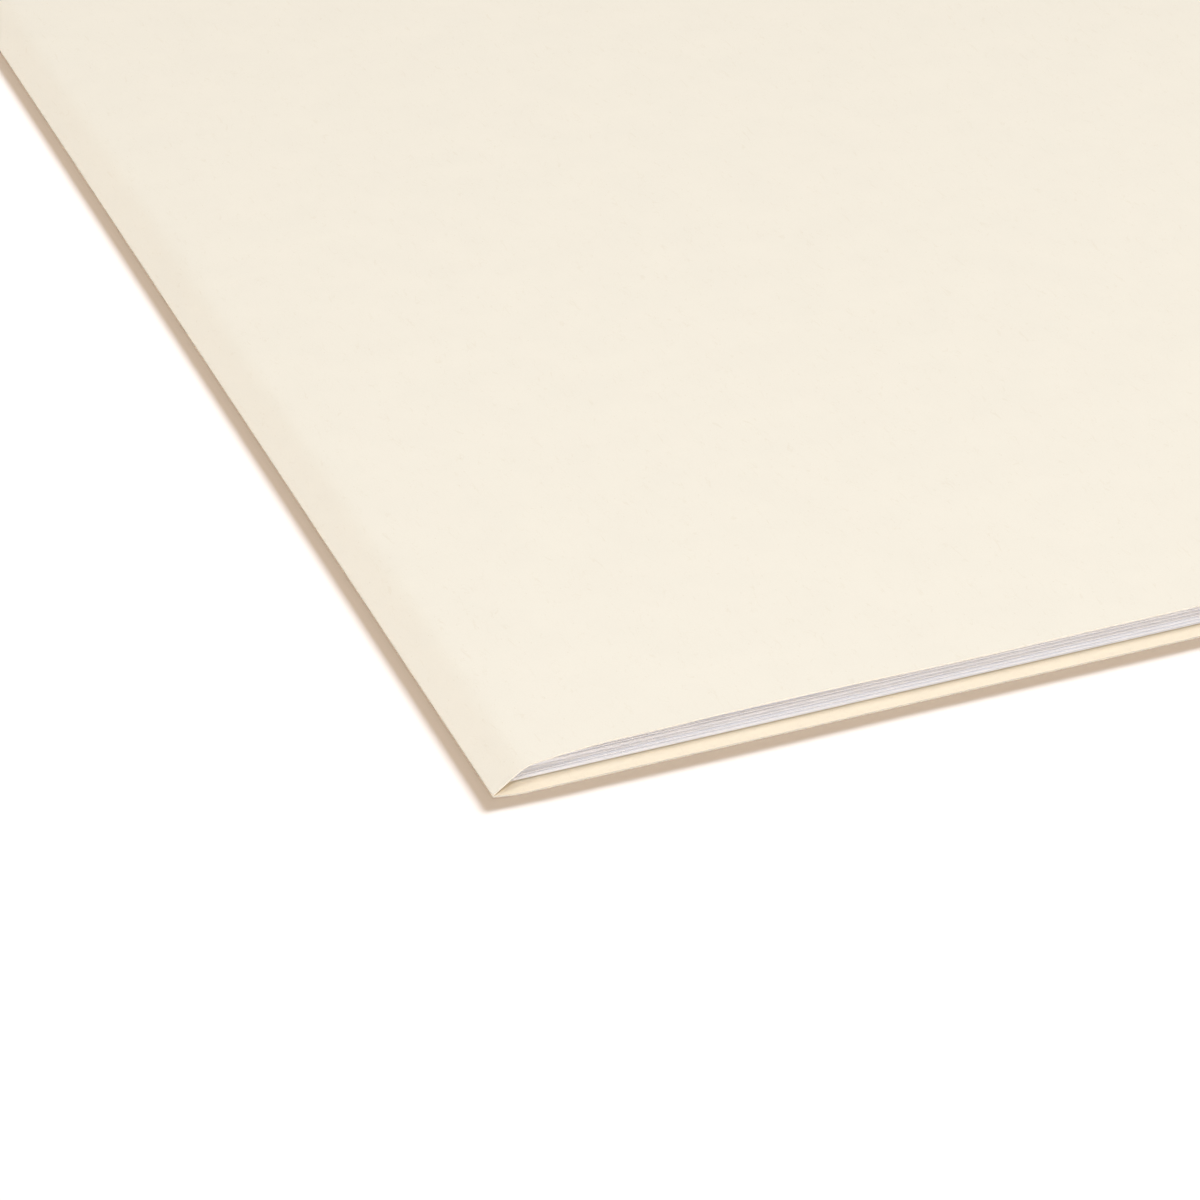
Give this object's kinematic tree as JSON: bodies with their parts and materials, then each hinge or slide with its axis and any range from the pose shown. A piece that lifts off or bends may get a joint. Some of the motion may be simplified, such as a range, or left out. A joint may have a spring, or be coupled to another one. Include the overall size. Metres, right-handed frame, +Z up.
{
  "type": "manila folder",
  "caption": "Letter-size manila folder, creased at a main fold and score lines, with a tab on its back flap; it holds a sheaf of loose sheets and opens flat.",
  "frame": {"origin": "middle of the closed folder's footprint, tab included, on the surface it lies on", "axes": "+X from the fold to the tab, +Y along the fold, +Z up"},
  "size_m": [0.2414, 0.2954, 0.006],
  "materials": {
    "manila_card": "smooth uncoated cream card with fine fibres",
    "white_paper": "matt white copy paper"
  },
  "bodies": {
    "back_flap": {"back_flap": "manila_card"},
    "score_strip_1": {"score_strip_1": "manila_card"},
    "score_strip_2": {"score_strip_2": "manila_card"},
    "score_strip_3": {"score_strip_3": "manila_card"},
    "front_flap": {"front_flap": "manila_card"},
    "sheaf": {"sheet_01": "white_paper", "sheet_02": "white_paper", "sheet_03": "white_paper", "sheet_04": "white_paper", "sheet_05": "white_paper", "sheet_06": "white_paper", "sheet_07": "white_paper", "sheet_08": "white_paper", "sheet_09": "white_paper", "sheet_10": "white_paper", "sheet_11": "white_paper", "sheet_12": "white_paper", "sheet_13": "white_paper", "sheet_14": "white_paper", "sheet_15": "white_paper", "sheet_16": "white_paper", "sheet_17": "white_paper", "sheet_18": "white_paper", "sheet_19": "white_paper", "sheet_20": "white_paper", "sheet_21": "white_paper", "sheet_22": "white_paper", "sheet_23": "white_paper", "sheet_24": "white_paper", "sheet_25": "white_paper", "sheet_26": "white_paper", "sheet_27": "white_paper", "sheet_28": "white_paper", "sheet_29": "white_paper", "sheet_30": "white_paper", "sheet_31": "white_paper"},
    "top_sheet": {"sheet_32": "white_paper"}
  },
  "joints": [
    {"name": "main_fold", "type": "hinge", "parent": "back_flap", "child": "score_strip_1", "pos_m": [-0.12059, 0, 0.00083], "axis": [0, -1, 0], "range_deg": [0, 143]},
    {"name": "first_score", "type": "hinge", "parent": "score_strip_1", "child": "score_strip_2", "pos_m": [-0.11552, 0, 0.00465], "axis": [0, -1, 0], "range_deg": [0, 31]},
    {"name": "second_score", "type": "hinge", "parent": "score_strip_2", "child": "score_strip_3", "pos_m": [-0.1092, 0, 0.00532], "axis": [0, -1, 0], "range_deg": [0, 2.5]},
    {"name": "third_score", "type": "hinge", "parent": "score_strip_3", "child": "front_flap", "pos_m": [-0.10286, 0, 0.0057], "axis": [0, -1, 0], "range_deg": [0, 3.5]},
    {"name": "sheaf_slide", "type": "slide", "parent": "back_flap", "child": "sheaf", "axis": [1, 0, 0], "range_m": [0, 0.24]},
    {"name": "top_sheet_slide", "type": "slide", "parent": "back_flap", "child": "top_sheet", "axis": [1, 0, 0], "range_m": [0, 0.24]}
  ]
}
